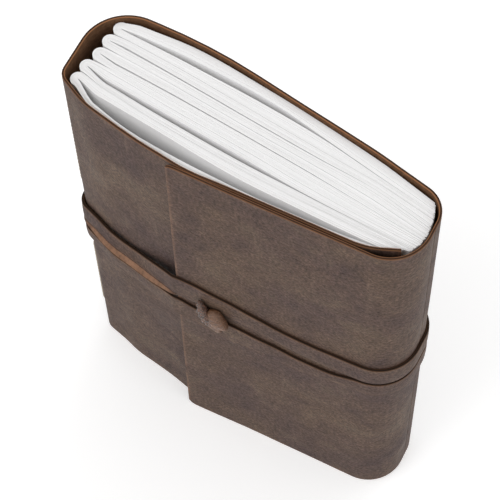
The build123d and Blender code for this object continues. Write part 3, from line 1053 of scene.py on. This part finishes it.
def knot(dark, tan):
    """The knot that ties the thong to the flap: a wrinkled turn, a smooth loop and a tucked end.
    The widths and depths of a lobe are given by the share of its length."""
    wrap = lobe(
        "knot_turn",
        spine=[(-9.4, 101.2), (-8.4, 97.4), (-7.0, 93.6), (-5.7, 90.2), (-4.5, 87.0)],
        widths=[(0.0, 2.8), (0.3, 4.1), (0.7, 4.6), (1.0, 3.6)],
        depths=[(0.0, 2.2), (0.4, 3.5), (0.8, 3.4), (1.0, 2.2)],
        wrinkle=0.30,
        taper=0.30,
    )
    loop = lobe(
        "knot_loop",
        spine=[(-4.0, 98.4), (-3.2, 96.0), (-2.3, 93.4), (-1.5, 90.8), (-1.2, 88.4)],
        widths=[(0.0, 5.4), (0.3, 5.9), (0.7, 6.3), (1.0, 6.0)],
        depths=[(0.0, 2.6), (0.4, 3.9), (0.8, 3.6), (1.0, 2.2)],
        wrinkle=0.07,
        taper=0.12,
    )
    outline = [
        (-10.6, 89.6), (-9.6, 86.6), (-7.6, 84.0), (-5.4, 82.0),
        (-3.0, 81.0), (-1.8, 82.4), (-3.4, 86.0), (-7.4, 91.0),
    ]
    end = slip("knot_end", outline, KNOT_FACE_Y - 1.0, KNOT_FACE_Y + 0.02)
    for piece, material, node in (
        (wrap, dark, "thong_knot_wrap"), (loop, tan, "thong_knot_loop"), (end, tan, "thong_end"),
    ):
        dress(piece, "thong_leather", material)
        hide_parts(node)
        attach(piece, "flap")


def knot_material(name, dark, light, roughness, depth):
    """Leather pulled tight in a knot, creased and shiny from handling. Its colour follows the height of
    the creases: painted shade in the folds and painted highlights on the ridges.
    """
    nodes = Nodes(name)
    uv = surface_coordinates(nodes)
    crease_height_and_shade = nodes.noise(uv, 75.0, 5.0, 0.7, 1.2)
    fine = nodes.noise(uv, 260.0, 3.0, 0.6)
    # Painted shade and highlights: the dark stop falls in the crease folds, the light stop on the
    # ridges.
    colour = nodes.ramp(crease_height_and_shade, [(0.36, dark), (0.64, light)])
    colour = nodes.mix(colour, nodes.between(fine, 0.3, 0.7, 0.85, 1.15), 1.0, "MULTIPLY")
    nodes.feed(nodes.shader.inputs["Base Color"], colour)
    nodes.shader.inputs["Roughness"].default_value = roughness
    nodes.shader.inputs["Specular IOR Level"].default_value = 0.5
    height = nodes.arithmetic("ADD", crease_height_and_shade, nodes.arithmetic("MULTIPLY", fine, 0.3))
    bump = nodes.add("ShaderNodeBump", {"Height": height, "Strength": depth, "Distance": 0.0006})
    nodes.feed(nodes.shader.inputs["Normal"], bump)
    return nodes.material


# ---------------------------------------------------------------- stage


def camera():
    """The camera, at the viewing angle of a product shot from above."""
    data = bpy.data.cameras.new("camera")
    data.lens = CAMERA_LENS
    data.sensor_width = SENSOR
    data.clip_start = 0.01
    data.clip_end = 20.0
    made = bpy.data.objects.new("camera", data)
    bpy.context.scene.collection.objects.link(made)
    turn = Matrix((CAMERA_RIGHT, CAMERA_UP, CAMERA_BACK)).transposed().to_4x4()
    made.matrix_world = Matrix.Translation(Vector(CAMERA_PLACE) * MM) @ turn
    bpy.context.scene.camera = made


def soft_light(name, place, size, power):
    """A square soft light that faces the middle of the book."""
    data = bpy.data.lights.new(name, "AREA")
    data.shape = "SQUARE"
    data.size = size
    data.energy = power
    made = bpy.data.objects.new(name, data)
    bpy.context.scene.collection.objects.link(made)
    made.location = place
    aim = Vector((0.0, 0.0, 0.1)) - Vector(place)
    made.rotation_euler = aim.to_track_quat("-Z", "Y").to_euler()


def stage():
    """A plain pale floor, a white surround and soft lights."""
    corners = [(FLOOR_REACH * x, FLOOR_REACH * y, 0) for x, y in ((-1, -1), (1, -1), (1, 1), (-1, 1))]
    mesh = bpy.data.meshes.new("floor")
    mesh.from_pydata(corners, [], [(0, 1, 2, 3)])
    floor = linked("floor", mesh)
    nodes = Nodes("floor")
    nodes.shader.inputs["Base Color"].default_value = (0.95, 0.95, 0.95, 1.0)
    nodes.shader.inputs["Emission Color"].default_value = (1.0, 1.0, 1.0, 1.0)
    nodes.shader.inputs["Emission Strength"].default_value = FLOOR_GLOW
    nodes.shader.inputs["Roughness"].default_value = 0.9
    floor.data.materials.append(nodes.material)
    world = bpy.data.worlds.new("world")
    bpy.context.scene.world = world
    world.use_nodes = True
    background = world.node_tree.nodes["Background"]
    background.inputs["Color"].default_value = (1.0, 1.0, 1.0, 1.0)
    background.inputs["Strength"].default_value = SURROUND
    for name, place, size, power in LIGHTS:
        soft_light(name, place, size, power)
    bpy.context.scene.view_settings.view_transform = "Standard"


def main():
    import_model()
    camera()
    grain = leather_material("leather_grain", (0.0, 0.0, 0.0))
    flesh = flesh_material()
    cut = cut_edge_material("leather_cut", (0.032, 0.014, 0.007), (0.20, 0.088, 0.038))
    sheet_pieces(grain, flesh, cut)
    pages(paper_material())
    strap = leather_material("thong_grain", (3.0, 5.0, 0.0))
    # The thong's cut edges are darker than the cover's: partly the thong's own darker edge colour,
    # partly painted shade for its top edges, which sit in shadow.
    strap_cut_with_shade = cut_edge_material("thong_cut_with_shade", (0.014, 0.007, 0.004), (0.085, 0.040, 0.018))
    thong_pieces(strap, flesh, strap_cut_with_shade)
    knot(
        knot_material("knot_dark", (0.012, 0.006, 0.004), (0.19, 0.092, 0.058), 0.26, 1.0),
        knot_material("knot_tan", (0.060, 0.024, 0.010), (0.22, 0.105, 0.052), 0.40, 0.8),
    )
    sewing(thread_material())
    stage()
    bpy.context.view_layer.update()


main()
